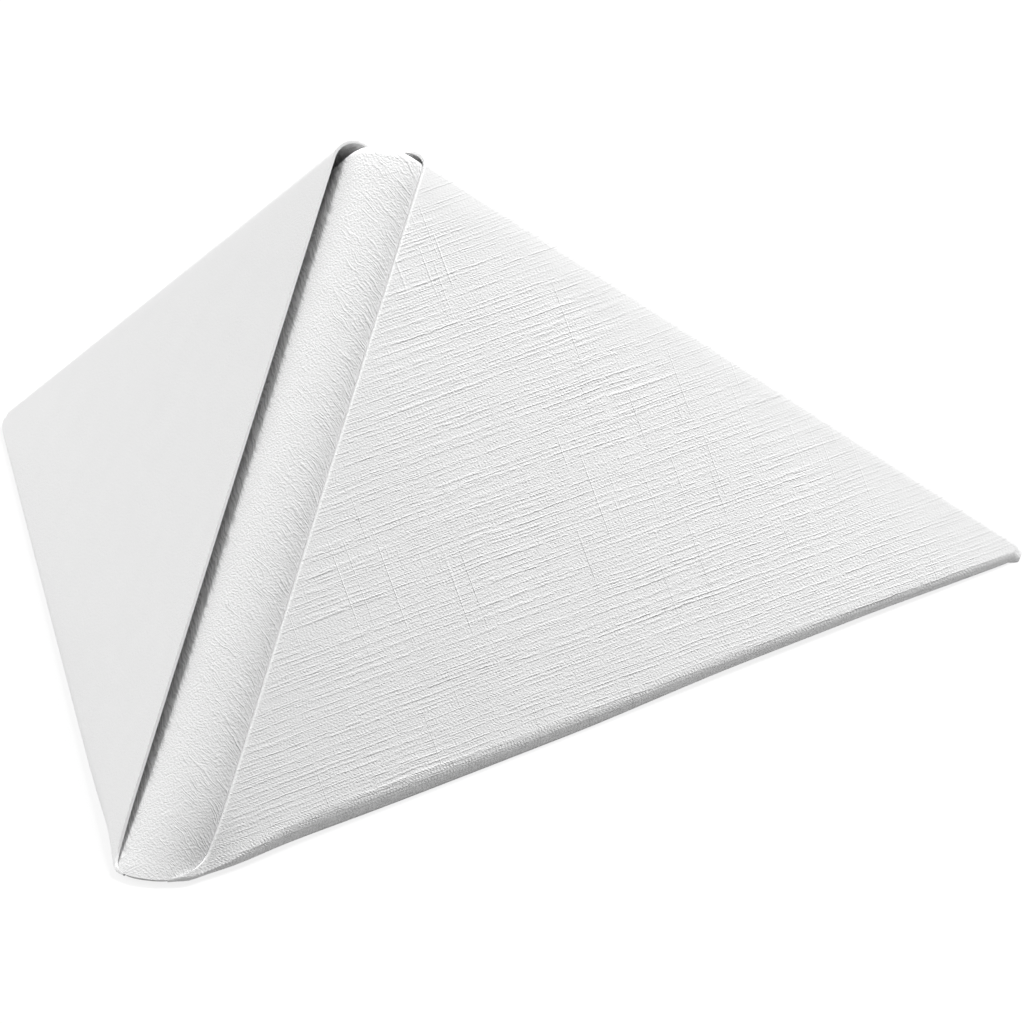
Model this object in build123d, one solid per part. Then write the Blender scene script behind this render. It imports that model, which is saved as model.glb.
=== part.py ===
from build123d import *
import os
from math import atan, atan2, cos, hypot, pi, radians, sin, sqrt

# A square paper napkin in the pyramid (tent) fold, standing on its lower folds.
# The square is folded corner to corner into a triangle of two plies, both side corners are
# folded in to the apex as flaps, the diamond is folded in half over the top, and the result is
# bent along its middle into two wings that meet in a rounded ridge. It is one sheet: one solid.
# Millimetres, Z up, X across the mirror plane, Y from the front foot to the open back.

# The sheet
napkin_side = 400.0          # side of the open square
sheet_thickness = 0.5        # the two plies of the doubled napkin, pressed together
fold_take_up = 2.4           # length that the top fold takes from each half of the triangle

# The tent
opening_angle = 79.5         # between the two wings, seen along the ridge
ridge_inner_radius = 5.0     # inside of the bend along the ridge
seam_setback = 0.4           # from the end of the ridge's bend to the edge of each flap
tip_height = 2.0             # height left at the blunt end of each wing

# Air between the layers, at the ridge and at the blunt end of a wing
base_gap = 1.3               # between the outer and the inner base layer
flap_gap = 2.4               # between a flap and the base layer that it lies on
tip_base_gap = 0.4
tip_flap_gap = 0.5

# Roundness of the folds: a small crown between two shoulders of a larger radius.
# A crown share of 1 is a plain half circle, and a smaller one is a sharper crease.
flap_crown_share = 1.0       # flaps over the top
base_crown_share = 0.40      # base layers over the top
bottom_crown_share = 0.38    # fold between flap and base, along the foot of a wing
shoulder_turn = 36.0         # degrees that each shoulder turns through

# Rest on the table
rest_flat_depth = 0.1        # height by which the lower folds are pressed flat

# Angles and directions: v runs down the ridge, u along a wing, and offsets stand off from a wing
half_angle = radians(opening_angle / 2)
ridge_slope = atan(cos(half_angle))          # with folds at 45 degrees, this lays the lower folds level
shoulder = radians(shoulder_turn)
across = Vector(1, 0, 0)
down_ridge = Vector(0, -cos(ridge_slope), -sin(ridge_slope))
off_ridge = Vector(0, -sin(ridge_slope), cos(ridge_slope))
along_wing = across * sin(half_angle) - off_ridge * cos(half_angle)
off_wing = across * cos(half_angle) + off_ridge * sin(half_angle)

# Sizes worked out from the ones above
half_sheet = sheet_thickness / 2
ridge_length = napkin_side / (2 * sqrt(2)) - fold_take_up
middle_radius = ridge_inner_radius + sheet_thickness + base_gap / 2


class Fold:
    """A half turn of the sheet round a clear gap, given on the sheet's middle line."""

    def __init__(self, gap, crown_share):
        inner_crown = crown_share * gap / 2
        inner_shoulder = (gap / 2 - inner_crown * cos(shoulder)) / (1 - cos(shoulder))
        self.half_width = gap / 2 + half_sheet
        self.crown_radius = inner_crown + half_sheet
        self.shoulder_radius = inner_shoulder + half_sheet
        self.rise = self.shoulder_radius * sin(shoulder) + self.crown_radius * (1 - sin(shoulder))

    def moves(self, direction):
        """Shoulder, crown in two halves and shoulder, to the left for a direction of 1, else to the right."""
        side = ("turn", self.shoulder_radius, direction * shoulder)
        half_crown = ("turn", self.crown_radius, direction * (pi / 2 - shoulder))
        return [side, half_crown, half_crown, side]

    def reach(self, outward, sideways):
        """How far the outside goes in a direction, from the middle of the fold's open end."""
        length = hypot(outward, sideways)
        if atan2(abs(sideways), outward) <= pi / 2 - shoulder:
            return outward * (self.rise - self.crown_radius) + (self.crown_radius + half_sheet) * length
        shoulder_centre = self.half_width - self.shoulder_radius
        return abs(sideways) * shoulder_centre + (self.shoulder_radius + half_sheet) * length


class Layers:
    """The layers of a wing at one place along it: offsets of their middle planes, and their folds."""

    def __init__(self, base_air, flap_air):
        self.base = (base_air + sheet_thickness) / 2
        self.flap = self.base + sheet_thickness + flap_air
        self.top_of_flap = Fold(2 * self.flap - sheet_thickness, flap_crown_share)
        self.top_of_base = Fold(base_air, base_crown_share)
        self.bottom = Fold(flap_air, bottom_crown_share)

    def depth(self, height):
        """Depth of the lower fold's outside under the top of the ridge's axis, at the ridge itself."""
        middle = (self.flap + self.base) / 2
        outward = sin(ridge_slope)
        sideways = sin(half_angle) * cos(ridge_slope)
        fold_end = (height - self.bottom.rise) * outward
        return fold_end + self.bottom.reach(outward, sideways) - (middle_radius + middle) * sideways


seam_layers = Layers(base_gap, flap_gap)
tip_layers = Layers(tip_base_gap, tip_flap_gap)
fall_along_wing = cos(half_angle) * cos(ridge_slope)
foot_depth = seam_layers.depth(ridge_length) + seam_setback * fall_along_wing
tip_place = (foot_depth - tip_layers.depth(tip_height)) / fall_along_wing
table_depth = foot_depth - rest_flat_depth


def in_space(u, v, offset):
    """Point of the right wing, with the table at Z = 0."""
    lift = Vector(0, 0, table_depth)
    return lift + down_ridge * v + off_wing * (middle_radius + offset) + along_wing * u


def run_to_table(u, offset):
    """Length of a layer that ends below the table, also where the layer turns round the ridge."""
    rise = (middle_radius + offset + sheet_thickness) * cos(ridge_slope)
    return (table_depth + rise - u * fall_along_wing) / sin(ridge_slope)


def base_path(u, layers):
    """The base alone: outer layer up from the table, over the top and down inside."""
    outer_run = run_to_table(u, layers.base)
    inner_run = run_to_table(u, -layers.base)
    moves = [("line", outer_run), *layers.top_of_base.moves(1), ("line", inner_run)]
    return (outer_run, layers.base), moves


def wing_path(u, layers, height):
    """Inner flap up, over the top, outer flap down, lower fold, base up, over the top, down inside."""
    flap_run = run_to_table(u, -layers.flap)
    outer_run = height - layers.bottom.rise
    inner_run = run_to_table(u, -layers.base)
    moves = [
        ("line", flap_run),
        *layers.top_of_flap.moves(-1),
        ("line", outer_run),
        *layers.bottom.moves(-1),
        ("line", outer_run),
        *layers.top_of_base.moves(1),
        ("line", inner_run),
    ]
    return (flap_run, -layers.flap), moves


def one_side(start, moves, shift):
    """Points of each move along a path that starts up the ridge, shifted to its left."""
    v, offset = start
    heading = pi
    pieces = []
    for kind, size, *turn in moves:
        left_v, left_offset = -sin(heading), cos(heading)
        if kind == "line":
            begin = (v + shift * left_v, offset + shift * left_offset)
            v += size * cos(heading)
            offset += size * sin(heading)
            pieces.append([begin, (v + shift * left_v, offset + shift * left_offset)])
            continue
        bend = 1 if turn[0] > 0 else -1
        centre_v, centre_offset = v + bend * size * left_v, offset + bend * size * left_offset
        spokes = [heading - bend * pi / 2 + share * turn[0] for share in (0, 0.5, 1)]
        reach = size - bend * shift
        pieces.append([(centre_v + reach * cos(s), centre_offset + reach * sin(s)) for s in spokes])
        v, offset = centre_v + size * cos(spokes[2]), centre_offset + size * sin(spokes[2])
        heading += turn[0]
    return pieces


def outline(u, path):
    """Closed outline of the sheet at u: one side, an end, the other side back, the other end."""
    left = one_side(*path, half_sheet)
    right = [piece[::-1] for piece in reversed(one_side(*path, -half_sheet))]
    pieces = [*left, [left[-1][-1], right[0][0]], *right, [right[-1][-1], left[0][0]]]
    edges = []
    for piece in pieces:
        points = [in_space(u, v, offset) for v, offset in piece]
        edges.append(Line(*points) if len(points) == 2 else ThreePointArc(*points))
    return edges


def wall(a, b):
    """Face between two edges of the sheet: flat between straight ones, ruled between arcs."""
    if a.geom_type == GeomType.LINE:
        return Face(Wire.make_polygon([a @ 0, a @ 1, b @ 1, b @ 0]))
    return Face.make_surface_from_curves(a, b)


def span(near, far):
    """Solid between two outlines with the same pieces."""
    walls = [wall(a, b) for a, b in zip(near, far)]
    return Solid(Shell([Face(Wire(near)), *walls, Face(Wire(far))]))


# Ridge: the base alone, turned round the ridge's axis from the right wing to the left one
ridge_axis = Axis((0, 0, table_depth), down_ridge)
ridge_start = outline(0, base_path(0, seam_layers))
ridge = revolve(Face(Wire(ridge_start)), ridge_axis, 180 - opening_angle)

# Right wing: a short run of bare base beside the ridge, then all layers out to the blunt end
beside_ridge = span(ridge_start, outline(seam_setback, base_path(seam_setback, seam_layers)))
seam_outline = outline(seam_setback, wing_path(seam_setback, seam_layers, ridge_length))
tip_outline = outline(tip_place, wing_path(tip_place, tip_layers, tip_height))
right_wing = beside_ridge + span(seam_outline, tip_outline)

# Trim at the table, and put the origin under the middle of the whole
tent = ridge + right_wing + mirror(right_wing, about=Plane.YZ)
trim_size = 2 * napkin_side
napkin = tent - Pos(0, 0, -trim_size / 2) * Box(trim_size, trim_size, trim_size)
napkin = Pos(0, -napkin.bounding_box().center().Y, 0) * napkin

os.makedirs("parts", exist_ok=True)
export_step(napkin, "parts/napkin.step")
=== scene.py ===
import math

import bpy
import numpy as np
from mathutils import Matrix, Vector


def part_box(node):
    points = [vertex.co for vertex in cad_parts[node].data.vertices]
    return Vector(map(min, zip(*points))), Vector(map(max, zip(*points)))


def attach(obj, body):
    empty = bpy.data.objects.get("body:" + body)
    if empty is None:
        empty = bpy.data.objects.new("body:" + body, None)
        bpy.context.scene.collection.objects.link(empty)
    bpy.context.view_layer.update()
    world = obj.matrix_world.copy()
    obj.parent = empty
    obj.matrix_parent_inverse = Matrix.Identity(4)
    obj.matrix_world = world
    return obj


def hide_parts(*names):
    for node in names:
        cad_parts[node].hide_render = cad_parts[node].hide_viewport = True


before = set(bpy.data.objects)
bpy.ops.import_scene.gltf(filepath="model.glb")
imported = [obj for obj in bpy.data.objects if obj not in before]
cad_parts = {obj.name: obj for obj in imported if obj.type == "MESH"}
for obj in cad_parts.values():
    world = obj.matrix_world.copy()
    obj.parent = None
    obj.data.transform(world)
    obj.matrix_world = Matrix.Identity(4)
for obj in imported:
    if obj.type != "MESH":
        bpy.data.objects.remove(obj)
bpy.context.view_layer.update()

# A square paper napkin in the pyramid fold: one embossed sheet that is folded over the top, turned
# up along the foot of each wing and bent into a rounded ridge. Sizes are in millimetres until the
# sheet becomes a mesh, and directions are the part's own: X across, Y to the open back, Z up.

MM = 0.001
cad_low = Vector(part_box("napkin")[0]) / MM

# The folded sheet: the part's own sizes, but for wings 0.3 mm longer and lower folds a little rounder
sheet_thickness = 0.5
opening_angle = math.radians(79.5)      # between the wings, seen along the ridge
ridge_length = 139.02                   # from the fold over the top down to the foot
ridge_radius = 6.15                     # of the bend, midway between the two base layers
ridge_axis_height = 80.898              # of the ridge's axis at its upper end
wing_length = 136.7                     # along the top fold, from the bend to the tip
tip_height = 2.0
base_gap, tip_base_gap = 1.3, 0.4       # air between the base layers, at the ridge and at a tip
tip_flap_gap = 0.5                      # air under a flap, at a tip
flap_crown_share = 1.0                  # roundness of each fold: 1 is a plain half circle
base_crown_share = 0.40
bottom_crown_share = 0.42
shoulder_turn = math.radians(36)
rest_flat_depth = 0.1                   # by which the lower folds are pressed flat

# How the flaps lie: the ridge fills out and touches their edges, all along on the right and only at
# the foot on the left, where the flap stands clear
seam_gap = 2.4                          # air under a flap at the ridge, where it stands clear
closed_gap = 0.03                       # air left where ridge and flap touch
touch_power = 10                        # how late the ridge on the left meets the flap's edge
flat_front = 0.45                       # how much less the middle of the ridge fills out
fold_air_reach = 9.0                    # up from a lower fold, over which it holds more air
foot_reach = 8.0                        # round the foot, where the flaps are pressed in
foot_rise = 0.82                        # by which the foot stands clear of the table,
foot_rise_reach = 18.0                  # and over what length of the lower folds
tip_rise_start, tip_rise_end = 60, 90   # where a lower fold rises from the table towards the tip,
tip_sink_start, tip_sink = 108, 0.7     # and where and by what share it comes down again
corner_blend = 0.7                      # part of a flap's corner over which the lower fold gets its depth
corner_height = 4.2                     # height of the largest rounded corner of a flap
ridge_top_rise = 2.2                    # of the base over the top, in the middle of the ridge,
tip_top_rise = 0.6                      # and at a tip
press_reach = 22.0                      # along the top fold, over which it is pressed down
tip_close = 0.8                         # part of the spread of the layers that is left at a tip
tip_round = 2.4                         # length of the rounded end of a wing
shortest_run = 0.5                      # of a layer from the top fold down, at a tip
edge_bevel = 0.17                       # on the cut edges
edge_bevel_angle = math.radians(60)     # edges that turn less than this stay as they are

# Mesh: rows follow the sheet through its folds, columns run from a tip to the ridge
inner_rows, turn_rows, flap_rows, corner_rows, foot_rows = 14, 18, 30, 14, 16
wing_columns, tip_columns, ridge_columns = 74, 12, 14

half_sheet = sheet_thickness / 2
half_angle = opening_angle / 2
ridge_slope = math.atan(math.cos(half_angle))
down_ridge = np.array([0, -math.cos(ridge_slope), -math.sin(ridge_slope)])
off_ridge = np.array([0, -math.sin(ridge_slope), math.cos(ridge_slope)])
across = np.array([1.0, 0, 0])
along_wing = across * math.sin(half_angle) - off_ridge * math.cos(half_angle)
off_wing = across * math.cos(half_angle) + off_ridge * math.sin(half_angle)
base_radius = ridge_radius + (base_gap + sheet_thickness) / 2
half_bend = base_radius * (math.pi / 2 - half_angle)
outside_radius = base_radius + half_sheet
foot_run = (ridge_axis_height + outside_radius * math.cos(ridge_slope)) / math.tan(ridge_slope)
ridge_axis_y = cad_low.y + foot_run + outside_radius * math.sin(ridge_slope)
ridge_top = np.array([0, ridge_axis_y, ridge_axis_height])


def mix(a, b, share):
    return a + (b - a) * share


def ease(x):
    """Smooth step from 0 to 1."""
    x = np.clip(x, 0, 1)
    return x * x * (3 - 2 * x)


def fold_radii(gap, crown_share):
    """Radii of the sheet's middle on the crown and the shoulders of a fold round a gap."""
    crown = crown_share * gap / 2
    shoulder = (gap / 2 - crown * math.cos(shoulder_turn)) / (1 - math.cos(shoulder_turn))
    return crown + half_sheet, shoulder + half_sheet


def fold(gap, crown_share, turn):
    """A place on a fold, after that much of its half turn: how far out, and how far to the first side."""
    crown, shoulder = fold_radii(gap, crown_share)
    if min(turn, math.pi - turn) > shoulder_turn:
        crown_centre = (shoulder - crown) * math.sin(shoulder_turn)
        return crown_centre + crown * math.sin(turn), crown * math.cos(turn)
    side = math.copysign(1, math.cos(turn))
    return shoulder * math.sin(turn), side * (gap / 2 + half_sheet - shoulder) + shoulder * math.cos(turn)


def lift(u):
    """How much higher a layer gets for each millimetre that it stands off, round the bend too."""
    turn = np.clip(-u, 0, None) / base_radius
    return math.cos(ridge_slope) * np.sin(half_angle + turn)


def fall(u):
    """How much lower the top fold is at u than at the ridge."""
    return np.clip(u, 0, None) * math.cos(half_angle) * math.cos(ridge_slope)


def run_to_table(u, offset, height):
    """Length of a layer from the top fold to its cut edge, at that height above the table."""
    height = height + half_sheet * math.cos(ridge_slope)
    run = (ridge_axis_height + (ridge_radius + offset) * lift(u) - fall(u) - height) / math.sin(ridge_slope)
    return np.maximum(run, shortest_run)


def wing_share(u):
    """Place along a wing, from 0 at the ridge to 1 at the tip."""
    return np.clip(u / wing_length, 0, 1)


def middle_base(u):
    """How far the base layers stand off their common middle."""
    return (mix(base_gap, tip_base_gap, wing_share(u)) + sheet_thickness) / 2


def round_bend(u):
    """Place on the bend, from 0 at its end to 1 in the middle of the ridge."""
    return np.clip(-u / half_bend, 0, 1)


class Wing:
    """One wing of the tent: side is 1 on the right and -1 on the left."""

    def __init__(self, side, seam, corner, foot_press, fold_air, tip_fold_air, top_touch, under_flap, hook,
                 top_press, top_rise, tip_rise):
        self.side = side
        self.seam = seam                # place of the flap's edge, from the end of the bend
        self.corner = corner            # length and height over which the edge rounds into the foot
        self.foot_press = foot_press    # by which the flap is pressed in at the foot
        self.fold_air = fold_air        # more air in the lower fold, at the ridge and at the tip
        self.tip_fold_air = tip_fold_air
        self.top_touch = top_touch      # how far the ridge fills out to the flap's edge at the top,
        self.under_flap = under_flap    # and the length over which the base leaves the flap behind it
        self.hook = hook                # length by which the edge swings round the ridge over the top
        self.top_press = top_press      # share by which the top fold is pressed down at the ridge
        self.top_rise = top_rise        # of the base over the top, at the flap's edge
        self.tip_rise = tip_rise        # by which the lower fold stands clear of the table at the tip

    def open_gap(self, u, v):
        """Air between the flap and a base that doesn't fill out, v down from the top fold."""
        press = mix(self.foot_press, self.other.foot_press, ease(round_bend(u) / 2))
        from_foot = np.hypot(np.clip(u, 0, None), v - ridge_length) / foot_reach
        return mix(seam_gap, tip_flap_gap, wing_share(u)) - press * np.exp(-from_foot ** 2)

    def touch(self, v):
        """How far the ridge fills out to the flap's edge, from 0 to 1."""
        return mix(self.top_touch, 1, np.clip(v / ridge_length, 0, 1) ** touch_power)

    def gap(self, u, v):
        """Air between the flap and the base."""
        touch = mix(self.touch(v), self.other.touch(v), ease(round_bend(u) / 2))
        touch = touch * mix(1, flat_front, np.sin(round_bend(u) * math.pi / 2) ** 2)
        touch = touch * np.exp(-(np.clip(u, 0, None) / self.under_flap) ** 2)
        above_fold = np.clip(mix(ridge_length, tip_height, wing_share(u)) - v, 0, None) / fold_air_reach
        more = mix(self.fold_air, self.tip_fold_air, wing_share(u)) * np.exp(-above_fold ** 2)
        more = more * (1 - round_bend(u)) ** 2
        return mix(self.open_gap(u, v) + more, closed_gap, touch)

    def base(self, u, v):
        return middle_base(u) + self.open_gap(u, v) - self.gap(u, v)

    def inner_base(self, u, v):
        """The inner base layer gives way where the lower fold pushes the outer one in."""
        return -np.maximum(middle_base(u), sheet_thickness + closed_gap - self.base(u, v))

    def flap(self, u, v):
        """The flap lies on the base, and at the foot it sinks into its edge where the lower fold ends."""
        at_foot = ease(1 - (ridge_length - v) / (2 * corner_height))
        return self.base(u, v) + (self.gap(u, v) + sheet_thickness) * mix(1, self.fold_depth(u), at_foot)

    def lower_gap(self, u):
        return self.gap(u, mix(ridge_length, tip_height, wing_share(u)))

    def lower_middle(self, u):
        """How far the middle of the lower fold stands off."""
        v = mix(ridge_length, tip_height, wing_share(u))
        return (self.flap(u, v) + self.base(u, v)) / 2

    def clear(self, u):
        """How far the lower fold stands clear of the table."""
        at_tip = self.tip_rise * ease((u - tip_rise_start) / (tip_rise_end - tip_rise_start))
        at_tip = at_tip * (1 - tip_sink * ease((u - tip_sink_start) / (wing_length - tip_sink_start)))
        return at_tip + foot_rise * np.exp(-(np.clip(u, 0, None) / foot_rise_reach) ** 2)

    def fold_depth(self, u):
        """Depth of the lower fold, from 0 at its end at the foot to 1."""
        return ease((u - self.seam + self.corner) / (self.corner * corner_blend))

    def lower_run(self, u):
        """Length from the top fold to where the lower fold begins, so that the fold rests on the table."""
        crown, shoulder = fold_radii(self.lower_gap(u), bottom_crown_share)
        crown_centre = (shoulder - crown) * math.sin(shoulder_turn)
        reach = math.sin(ridge_slope) * crown_centre
        reach = reach + (crown + half_sheet) * np.hypot(math.sin(ridge_slope), lift(u))
        height = ridge_axis_height + (ridge_radius + self.lower_middle(u)) * lift(u) - fall(u)
        fold_start = (height - reach + rest_flat_depth - self.clear(u)) / math.sin(ridge_slope)
        cut_edge = run_to_table(u, self.base(u, ridge_length), self.clear(u))
        return np.maximum(mix(cut_edge, fold_start, self.fold_depth(u)), shortest_run)

    def rows_down(self):
        """Down a seam: shares of its length, and the edge's place as it rounds into the foot."""
        turns = np.linspace(0, math.pi / 2, corner_rows)[1:]
        straight = np.linspace(ridge_length, corner_height, flap_rows)
        heights = [*straight, *corner_height * (1 - np.sin(turns))]
        rows = []
        for height in heights:
            into_corner = max(1 - height / self.corner, 0)
            edge = self.seam - self.corner * (1 - math.sqrt(1 - into_corner ** 2))
            rows.append((1 - height / ridge_length, edge))
        return rows

    def in_space(self, u, v, offset):
        """Points of the sheet. A wing is flat, and the bend of the ridge follows for u below 0."""
        into_tip = np.clip((u - wing_length + tip_round) / tip_round, 0, 1)
        closing = np.maximum(np.sqrt(1 - into_tip ** 2), tip_close)
        v = mix(tip_height / 2, v, closing)
        offset = offset * closing
        turn = (np.clip(-u, 0, None) / base_radius)[:, None]
        outward = np.cos(turn) * off_wing - np.sin(turn) * along_wing
        run = np.clip(u, 0, None)[:, None] * along_wing
        points = ridge_top + v[:, None] * down_ridge + (ridge_radius + offset)[:, None] * outward + run
        return points * [self.side, 1, 1]


past_tip = np.linspace(0, 1, wing_columns - tip_columns)
past_tip = mix(past_tip, ease(past_tip / 2 + 0.5) * 2 - 1, 0.75)
round_tip = 1 - np.cos(np.linspace(0, math.pi / 2, tip_columns + 1))[:-1]
round_tip_share = 0.04                  # part of a wing's length that has the closer columns of its tip
tip_to_seam = np.concatenate([round_tip * round_tip_share, mix(round_tip_share, 1, past_tip)])
seam_to_middle = np.linspace(0, 1, ridge_columns)[1:]


def flap_path(wing):
    """Rows (u, v, offset) of a flap: up inside, over the top, down outside and round the lower fold."""
    inside = mix(wing_length, wing.seam - wing.hook, tip_to_seam)
    top_flap = wing.flap(inside, 0 * inside)
    rows = []
    for share in np.linspace(1, 0, inner_rows):
        rows.append((inside, share * run_to_table(inside, -top_flap, 0), -top_flap))
    for turn in np.linspace(0, math.pi, turn_rows)[1:-1]:
        u = mix(wing_length, wing.seam - wing.hook * ease(1 - turn / math.pi), tip_to_seam)
        rise, side = fold(2 * wing.flap(u, 0 * u) - sheet_thickness, flap_crown_share, turn)
        rise = rise * (1 - wing.top_press * np.exp(-(u / press_reach) ** 2))
        rows.append((u, -rise, -side))
    for share, edge in wing.rows_down():
        u = mix(wing_length, edge, tip_to_seam)
        v = share * wing.lower_run(u)
        rows.append((u, v, wing.flap(u, v)))
    for turn in np.linspace(0, math.pi, foot_rows)[1:-1]:
        rise, side = fold(wing.lower_gap(u), bottom_crown_share, turn)
        depth = wing.fold_depth(u)
        rows.append((u, wing.lower_run(u) + rise * depth, wing.lower_middle(u) + side * depth))
    return [np.array(part) for part in zip(*rows)]


def base_path(wing):
    """Rows (u, v, offset) of half the base, from tip to middle of the ridge: up, over, down inside."""
    rows = []
    for share, edge in reversed(wing.rows_down()):
        u = np.concatenate([mix(wing_length, edge, tip_to_seam), mix(edge, -half_bend, seam_to_middle)])
        v = share * wing.lower_run(u)
        rows.append((u, v, wing.base(u, v)))
    outside, inside = wing.base(u, 0 * u), -wing.inner_base(u, 0 * u)
    top_rise = mix(mix(wing.top_rise, tip_top_rise, wing_share(u)), ridge_top_rise,
                   np.sin(round_bend(u) * math.pi / 2))
    highest = fold(outside + inside - sheet_thickness, base_crown_share, math.pi / 2)[0]
    for turn in np.linspace(0, math.pi, turn_rows)[1:-1]:
        rise, side = fold(outside + inside - sheet_thickness, base_crown_share, turn)
        rows.append((u, -rise * top_rise / highest, (outside - inside) / 2 + side))
    for share in np.linspace(0, 1, inner_rows):
        v = share * run_to_table(u, -inside, 0)
        rows.append((u, v, wing.inner_base(u, v)))
    return [np.array(part) for part in zip(*rows)]


def thread_places(across_sheet, v, offset, direction):
    """Flat places along the threads, which cross the ridge at 45 degrees, from the top fold."""
    step = np.hypot(np.diff(v, axis=0), np.diff(offset, axis=0))
    along_sheet = np.vstack([np.zeros_like(v[:1]), np.cumsum(step, axis=0)])
    along_sheet = direction * (along_sheet - along_sheet[np.argmin(v[:, -1])])
    return np.stack([across_sheet - along_sheet, across_sheet + along_sheet], axis=-1) / math.sqrt(2)


class Sheet:
    """Collects the points, faces and flat thread coordinates of the sheet's middle surface."""

    def __init__(self):
        self.points, self.faces, self.places = [], [], []

    def add_points(self, points):
        first = len(self.points)
        self.points.extend(points.reshape(-1, 3))
        return first + np.arange(points.shape[0] * points.shape[1]).reshape(points.shape[:2])

    def add_faces(self, index, place, side):
        rows, columns = index.shape
        for i in range(rows - 1):
            for j in range(columns - 1):
                corners = [(i, j), (i, j + 1), (i + 1, j + 1), (i + 1, j)][::side]
                self.faces.append([int(index[c]) for c in corners])
                self.places.extend(place[c] for c in corners)


def spread(wing, u, v, offset):
    return np.array([wing.in_space(*row) for row in zip(u, v, offset)])


def add_wing(sheet, wing, middle):
    """Adds one half of the sheet and gives back the points along the middle of the ridge."""
    u, v, offset = base_path(wing)
    base_points = spread(wing, u, v, offset)
    base = sheet.add_points(base_points)
    if middle is not None:
        base[:, -1] = middle
    sheet.add_faces(base, thread_places(wing.side * (u + half_bend), v, offset, -1), wing.side)
    u, v, offset = flap_path(wing)
    flap = sheet.add_points(spread(wing, u, v, offset))
    flap = np.vstack([flap, base[:1, :wing_columns]])
    u, v, offset = (np.vstack([part, part[-1:]]) for part in (u, v, offset))
    sheet.add_faces(flap, thread_places(wing.side * u, v, offset, 1), wing.side)
    return base[:, -1]


def fold_napkin():
    """The napkin's mesh: the folded middle surface, which is thickened and given rounded edges later."""
    sheet = Sheet()
    middle = add_wing(sheet, right_wing, None)
    add_wing(sheet, left_wing, middle)
    mesh = bpy.data.meshes.new("napkin_sheet")
    mesh.from_pydata([tuple(p * MM) for p in sheet.points], [], sheet.faces)
    places = mesh.uv_layers.new(name="threads")
    places.data.foreach_set("uv", np.array(sheet.places, dtype=np.float32).ravel())
    mesh.validate()
    napkin = bpy.data.objects.new("napkin_sheet", mesh)
    bpy.context.scene.collection.objects.link(napkin)
    return napkin


def apply_modifier(piece, kind, **settings):
    modifier = piece.modifiers.new(kind.lower(), kind)
    for name, value in settings.items():
        setattr(modifier, name, value)
    bpy.ops.object.select_all(action="DESELECT")
    piece.select_set(True)
    bpy.context.view_layer.objects.active = piece
    bpy.ops.object.modifier_apply(modifier=modifier.name)


right_wing = Wing(side=1, seam=0.4, corner=4.2, foot_press=1.3, fold_air=1.8, tip_fold_air=1.0,
                  top_touch=1.0, under_flap=11.0, hook=4.5, top_press=0.2, top_rise=1.1, tip_rise=0.6)
left_wing = Wing(side=-1, seam=0.6, corner=2.5, foot_press=0.3, fold_air=0.15, tip_fold_air=0.1,
                 top_touch=0.26, under_flap=8.0, hook=1.0, top_press=-0.12, top_rise=1.8, tip_rise=0.0)
right_wing.other, left_wing.other = left_wing, right_wing
napkin = fold_napkin()
napkin.data.materials.append(bpy.data.materials.new("flap_side_paper"))
napkin.data.materials.append(bpy.data.materials.new("base_side_paper"))
napkin.data.materials.append(bpy.data.materials.new("cut_edge_paper"))

# Loose points of the left half's ridge middle go before the sheet gets its thickness
bpy.ops.object.select_all(action="DESELECT")
napkin.select_set(True)
bpy.context.view_layer.objects.active = napkin
bpy.ops.object.mode_set(mode="EDIT")
bpy.ops.mesh.select_all(action="SELECT")
bpy.ops.mesh.delete_loose()
bpy.ops.object.mode_set(mode="OBJECT")
apply_modifier(napkin, "SOLIDIFY", thickness=sheet_thickness * MM, offset=0, use_quality_normals=True,
               material_offset=1, material_offset_rim=2)
apply_modifier(napkin, "BEVEL", width=edge_bevel * MM, segments=2, limit_method="ANGLE",
               angle_limit=edge_bevel_angle)

# Nothing reaches below the table
for vertex in napkin.data.vertices:
    vertex.co.z = max(vertex.co.z, 0)
bpy.ops.object.shade_smooth()


class Field:
    """A number that varies over the paper, with plain arithmetic made of nodes."""

    def __init__(self, tree, socket):
        self.tree, self.socket = tree, socket

    def calculate(self, operation, *others):
        node = self.tree.nodes.new("ShaderNodeMath")
        node.operation = operation
        for slot, value in zip(node.inputs, (self, *others)):
            if isinstance(value, Field):
                self.tree.links.new(value.socket, slot)
            else:
                slot.default_value = value
        return Field(self.tree, node.outputs[0])

    def __add__(self, other):
        return self.calculate("ADD", other)

    def __sub__(self, other):
        return self.calculate("SUBTRACT", other)

    def __mul__(self, other):
        return self.calculate("MULTIPLY", other)

    def wave(self, pitch):
        """Rounded threads that repeat every pitch, from -1 to 1."""
        return (self * (2 * math.pi / pitch)).calculate("SINE")

    def step(self, start, end):
        """Smooth rise from 0 at start to 1 at end."""
        node = self.tree.nodes.new("ShaderNodeMapRange")
        node.interpolation_type = "SMOOTHSTEP"
        self.tree.links.new(self.socket, node.inputs["Value"])
        node.inputs["From Min"].default_value = start
        node.inputs["From Max"].default_value = end
        return Field(self.tree, node.outputs["Result"])


def streaks(tree, x, y, x_size, y_size, seed, detail=1.0):
    """Smooth noise from 0 to 1 with patches of that size, in millimetres."""
    place = tree.nodes.new("ShaderNodeCombineXYZ")
    tree.links.new((x * (1 / x_size)).socket, place.inputs["X"])
    tree.links.new((y * (1 / y_size)).socket, place.inputs["Y"])
    place.inputs["Z"].default_value = seed
    noise = tree.nodes.new("ShaderNodeTexNoise")
    noise.inputs["Scale"].default_value = 1.0
    noise.inputs["Detail"].default_value = detail
    tree.links.new(place.outputs[0], noise.inputs["Vector"])
    return Field(tree, noise.outputs[0])


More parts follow.
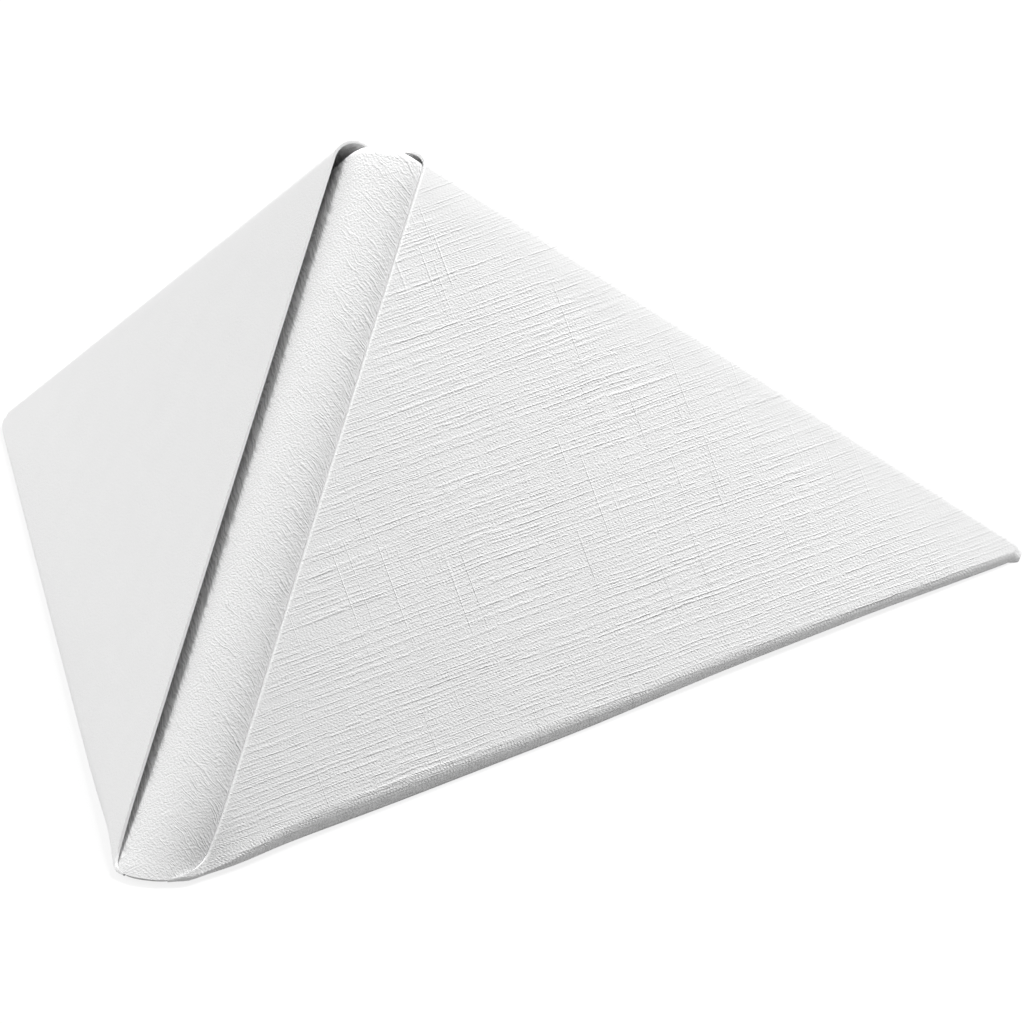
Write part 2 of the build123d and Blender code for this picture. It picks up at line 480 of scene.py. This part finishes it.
# Linen embossing, in millimetres on the flat sheet
warp_pitch = 0.73
emboss_depth = 0.126
paper_colour = 0.86
left_flap_depth = 0.95                  # part of the grain that is left on the smooth left flap,
top_fold_depth = 0.15                   # and of the embossing along the crest of the top fold
painted_light_tone = 0.97                      # painted light: the palest tone, used where light or a highlight is painted on

# Places across the sheet, as x + y on the threads, where a change starts and where it is complete
right_flap_start, right_flap_end = -6.0, 6.0
lower_fold_start, lower_fold_end = 97.0, 101.0      # along y, where the right flap turns under
seam_start, seam_end = 5.0, 45.0                    # from the softer embossing at the right seam
# Painted highlight along the right flap's cut edge: where it rises, is full, fades and ends
highlight_start, highlight_full, highlight_fade, highlight_end = 0.0, 0.3, 0.8, 1.2
ridge_shade_start, ridge_shade_end = -4.0, 9.0                # painted shade over the ridge, from left to right,
seam_shade_start, seam_shade_end = 5.0, 10.0              # and more painted shade beside the right seam
gap_light_start, gap_light_end = -7.0, -9.5                     # into the gap beside the left flap, for the painted light on the paper
gap_shade_lines_start, gap_shade_lines_end = -6.5, -9.0         # and for the painted shade lines on it
crest_start, crest_end = 2.0, 30.0                  # y - x, away from the crest of the top fold


def mixed_colour(tree, share, a, b):
    """Colour between a and b, each a grey value or another colour's output."""
    node = tree.nodes.new("ShaderNodeMix")
    node.data_type = "RGBA"
    tree.links.new(share.socket, node.inputs["Factor"])
    for name, value in (("A", a), ("B", b)):
        if isinstance(value, float):
            node.inputs[name].default_value = (value, value, value, 1)
        else:
            tree.links.new(value, node.inputs[name])
    return node.outputs["Result"]


def linen_paper(material, turned):
    """White paper with a pressed linen weave, and painted light and shade in its tone. On the turned side
    the strong threads run the other way.
    """
    material.use_nodes = True
    tree = material.node_tree
    shader = tree.nodes["Principled BSDF"]
    places = tree.nodes.new("ShaderNodeUVMap")
    places.uv_map = "threads"
    split = tree.nodes.new("ShaderNodeSeparateXYZ")
    tree.links.new(places.outputs["UV"], split.inputs[0])
    x, y = Field(tree, split.outputs["X"]), Field(tree, split.outputs["Y"])
    along, over = (y, x) if turned else (x, y)

    # Weft: lines at uneven distances, crooked and broken into dashes, longer and straighter on the flaps
    line_length, crook_length, crookedness = (5.0, 4.0, 1.8) if turned else (36.0, 12.0, 0.5)
    crook = (streaks(tree, along, over, crook_length, crook_length, 1.0) - 0.5) * crookedness
    crook = crook + (streaks(tree, along, over, 0.8, 1.2, 2.0) - 0.5) * 0.16
    weft_place = over + crook
    dashes = streaks(tree, along, weft_place, 3.0, 0.5, 12.0).step(0.38, 0.58) * 0.75 + 0.25

    def weft_lines(place):
        fine = streaks(tree, along, place, line_length, 0.32, 3.0, 0.0).step(0.45, 0.75)
        return fine * 0.45 + streaks(tree, along, place, line_length, 0.42, 4.0, 0.0).step(0.60, 0.80) * 0.4

    lines = weft_lines(weft_place) * dashes
    # Painted shade: a dark line just below each raised thread, on its side away from the light
    groove_shade = (weft_lines(weft_place - 0.15) * dashes - lines).calculate("MAXIMUM", 0.0)

    # Warp: short bars between the lines, and a fine grain
    row_shift = streaks(tree, along, weft_place, 30.0, 0.45, 5.0, 0.0)
    bars = (along + row_shift * 1.4).wave(warp_pitch)
    warp = bars * streaks(tree, along, over, 2.5, 0.8, 6.0).step(0.35, 0.65)
    grain = streaks(tree, along, over, 0.42, 0.34, 9.0) - 0.5

    if turned:
        # Patches of crooked lines, mostly on the right half of the ridge, and a finer crinkle the other way
        cross_place = along + (streaks(tree, along, over, 3.0, 3.0, 13.0) - 0.5) * crookedness
        cross_lines = streaks(tree, cross_place, over, 0.32, line_length, 14.0, 0.0).step(0.45, 0.75)
        patches = ((x + y) * 0.03 + streaks(tree, along, over, 4.0, 4.0, 15.0)).step(0.35, 0.75)
        lines = lines * patches
        groove_shade = groove_shade * patches
        height = lines * 1.1 + cross_lines * 0.12 + warp * 0.05 + grain * 1.0
    else:
        # A few long slubs cross the lines, and the left flap is nearly smooth
        slub = streaks(tree, along, over, 0.45, 45.0, 7.0, 0.0).step(0.68, 0.82)
        slub = slub * streaks(tree, along, over, 1.6, 20.0, 8.0).step(0.47, 0.60)
        on_right_flap = (x + y).step(right_flap_start, right_flap_end)
        at_lower_fold = y.step(lower_fold_start, lower_fold_end) * on_right_flap
        # Painted shade: dark bars of the weave in the right lower fold; the dark lines below the threads
        # stay on the right flap
        groove_shade = groove_shade * on_right_flap + (bars * 0.3 + grain * 1.6).step(-0.1, 0.6) * at_lower_fold * 0.45
        height = (lines + slub * 0.7 + warp * (at_lower_fold * 0.3 + 0.14)) * (on_right_flap * 0.9 + 0.1)
        height = height + grain * 0.95 * (on_right_flap * (1 - left_flap_depth) + left_flap_depth)
        height = height * ((x + y).step(seam_start, seam_end) * 0.16 + 0.84)
        from_top_fold = (y - x).calculate("ABSOLUTE")
        off_crest = from_top_fold.step(crest_start, crest_end)
        height = height * (off_crest * (1 - top_fold_depth) + top_fold_depth)

    bump = tree.nodes.new("ShaderNodeBump")
    bump.inputs["Strength"].default_value = 1.0
    bump.inputs["Distance"].default_value = emboss_depth * MM
    tree.links.new(height.socket, bump.inputs["Height"])
    tree.links.new(bump.outputs[0], shader.inputs["Normal"])

    # Tone: hardly cloudy, with painted shade a little darker between the threads, and darkest in the
    # grooves beside them
    cloud = streaks(tree, along, over, 9.0, 9.0, 10.0, 2.0)
    threads = (cloud * 0.3 + height * 0.8).step(-0.25, 0.65)
    tone = mixed_colour(tree, threads, paper_colour * 0.965, paper_colour * 1.02)
    if not turned:
        # Painted light: paler round the right lower fold, whose rounded underside turns into shade
        tone = mixed_colour(tree, at_lower_fold * 0.9, tone, painted_light_tone)
    tone = mixed_colour(tree, groove_shade, tone, paper_colour * 0.7)
    if turned:
        # Painted shade: this side is a little darker all over, and darker still towards the right of the
        # ridge, where it turns from the light, most of all beside the right seam
        painted_ridge_shade = (x + y).step(ridge_shade_start, ridge_shade_end) * 0.4
        painted_ridge_shade = painted_ridge_shade + (x + y).step(seam_shade_start, seam_shade_end) * 0.35
        tone = mixed_colour(tree, painted_ridge_shade + 0.2, tone, paper_colour * 0.8)
        # Painted light: paler in the gap beside the left flap's edge, which the flap shades, with painted
        # shade as dark lines along the threads
        tone = mixed_colour(tree, (x + y).step(gap_light_start, gap_light_end) * 0.9, tone, painted_light_tone)
        painted_thread_shade = streaks(tree, along, weft_place, 9.0, 0.45, 11.0, 0.0).step(0.42, 0.6)
        painted_thread_shade = painted_thread_shade * (x + y).step(gap_shade_lines_start, gap_shade_lines_end)
        tone = mixed_colour(tree, painted_thread_shade * 0.5, tone, paper_colour * 0.5)
    else:
        # Painted highlight: a bright band along the right flap's cut edge, where it catches the light
        painted_edge_highlight = (x + y).step(highlight_start, highlight_full) * (x + y).step(highlight_end, highlight_fade)
        tone = mixed_colour(tree, painted_edge_highlight, tone, 0.99)
    tree.links.new(tone, shader.inputs["Base Color"])
    shader.inputs["Roughness"].default_value = 0.9
    shader.inputs["Specular IOR Level"].default_value = 0.08


linen_paper(napkin.data.materials["flap_side_paper"], turned=False)
linen_paper(napkin.data.materials["base_side_paper"], turned=True)

# Cut edges: a painted highlight on the right half and painted shade on the left, with a little random fibre
# tone
cut_edge = napkin.data.materials["cut_edge_paper"]
cut_edge.use_nodes = True
tree = cut_edge.node_tree
coordinates = tree.nodes.new("ShaderNodeTexCoord")
split = tree.nodes.new("ShaderNodeSeparateXYZ")
tree.links.new(coordinates.outputs["Object"], split.inputs[0])
edge_x, edge_z = (Field(tree, split.outputs[name]) * (1 / MM) for name in ("X", "Z"))
fibres = streaks(tree, edge_x, edge_z, 1.5, 1.5, 16.0)
shader = tree.nodes["Principled BSDF"]
tree.links.new(mixed_colour(tree, edge_x.step(-2.0, 2.0) * (fibres * 0.3 + 0.8), 0.68, painted_light_tone),
               shader.inputs["Base Color"])
shader.inputs["Roughness"].default_value = 0.9
shader.inputs["Specular IOR Level"].default_value = 0.08

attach(napkin, "root")
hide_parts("napkin")


# Floor: white where it is seen, with the napkin's shadow, and greyer in the light that it gives back
floor_seen, floor_unseen, floor_glow = 0.92, 0.34, 0.85
bpy.ops.object.select_all(action="DESELECT")
bpy.ops.mesh.primitive_plane_add(size=12.0, location=(0, 0, 0))
floor = bpy.context.object
floor.name = "floor"
floor_white = bpy.data.materials.new("floor_white")
floor_white.use_nodes = True
tree = floor_white.node_tree
plain = tree.nodes["Principled BSDF"]
plain.inputs["Roughness"].default_value = 0.9
glow = tree.nodes.new("ShaderNodeEmission")
glow.inputs["Strength"].default_value = 1.0
rays = tree.nodes.new("ShaderNodeLightPath")


def seen_directly(tree, rays):
    """1 for rays that show the surface in the picture, in gloss or through glass."""
    seen = Field(tree, rays.outputs["Is Camera Ray"])
    for name in ("Is Glossy Ray", "Is Transmission Ray"):
        seen = seen.calculate("MAXIMUM", Field(tree, rays.outputs[name]))
    return seen


seen = seen_directly(tree, rays)
shade = tree.nodes.new("ShaderNodeMix")
shade.data_type = "RGBA"
shade.inputs["A"].default_value = (floor_unseen, floor_unseen, floor_unseen, 1)
shade.inputs["B"].default_value = (floor_seen, floor_seen, floor_seen, 1)
tree.links.new(seen.socket, shade.inputs["Factor"])
tree.links.new(shade.outputs["Result"], plain.inputs["Base Color"])
blend = tree.nodes.new("ShaderNodeMixShader")
tree.links.new((seen * floor_glow).socket, blend.inputs["Fac"])
tree.links.new(plain.outputs[0], blend.inputs[1])
tree.links.new(glow.outputs[0], blend.inputs[2])
tree.links.new(blend.outputs[0], tree.nodes["Material Output"].inputs["Surface"])
floor.data.materials.append(floor_white)


# Light: a large soft lamp on the left, one above and behind on the right, and the room
def soft_lamp(name, direction, distance, size, brightness):
    """A lamp that gives a white surface facing it about that brightness, and less if it is large."""
    light = bpy.data.lights.new(name, "AREA")
    light.shape = "DISK"
    light.size = size
    light.energy = brightness * math.pi ** 2 * distance ** 2
    lamp = bpy.data.objects.new(name, light)
    aim = Vector((0, 0, 0.03))
    place = Vector(direction).normalized()
    turn = place.to_track_quat("Z", "Y").to_matrix().to_4x4()
    lamp.matrix_world = Matrix.Translation(aim + place * distance) @ turn
    bpy.context.scene.collection.objects.link(lamp)


soft_lamp("left_lamp", (-0.83, -0.27, 0.47), distance=2.4, size=3.4, brightness=0.92)
soft_lamp("back_lamp", (0.29, 0.50, 0.815), distance=0.85, size=0.35, brightness=1.45)

room_brightness = 0.25
world = bpy.data.worlds.new("room")
bpy.context.scene.world = world
world.use_nodes = True
tree = world.node_tree
room = tree.nodes["Background"]
room.inputs["Color"].default_value = (1, 1, 1, 1)
room.inputs["Strength"].default_value = room_brightness
white = tree.nodes.new("ShaderNodeBackground")
white.inputs["Strength"].default_value = 1.0
rays = tree.nodes.new("ShaderNodeLightPath")
blend = tree.nodes.new("ShaderNodeMixShader")
tree.links.new(seen_directly(tree, rays).socket, blend.inputs["Fac"])
tree.links.new(room.outputs[0], blend.inputs[1])
tree.links.new(white.outputs[0], blend.inputs[2])
tree.links.new(blend.outputs[0], tree.nodes["World Output"].inputs["Surface"])


# Camera at the photograph's viewing angle
camera_place = Vector((943.49, -2598.87, 1184.38)) * MM
camera_aim = Vector((26.794, 13.703, 29.344)) * MM
camera_roll = math.radians(-0.237)
camera = bpy.data.objects.new("camera", bpy.data.cameras.new("camera"))
camera.data.lens = 627.3
camera.data.sensor_width = 36.0
view_turn = (camera_place - camera_aim).to_track_quat("Z", "Y").to_matrix().to_4x4()
camera.matrix_world = Matrix.Translation(camera_place) @ view_turn @ Matrix.Rotation(camera_roll, 4, "Z")
camera.data.clip_end = 50
bpy.context.scene.collection.objects.link(camera)
bpy.context.scene.camera = camera
bpy.context.scene.view_settings.view_transform = "Standard"
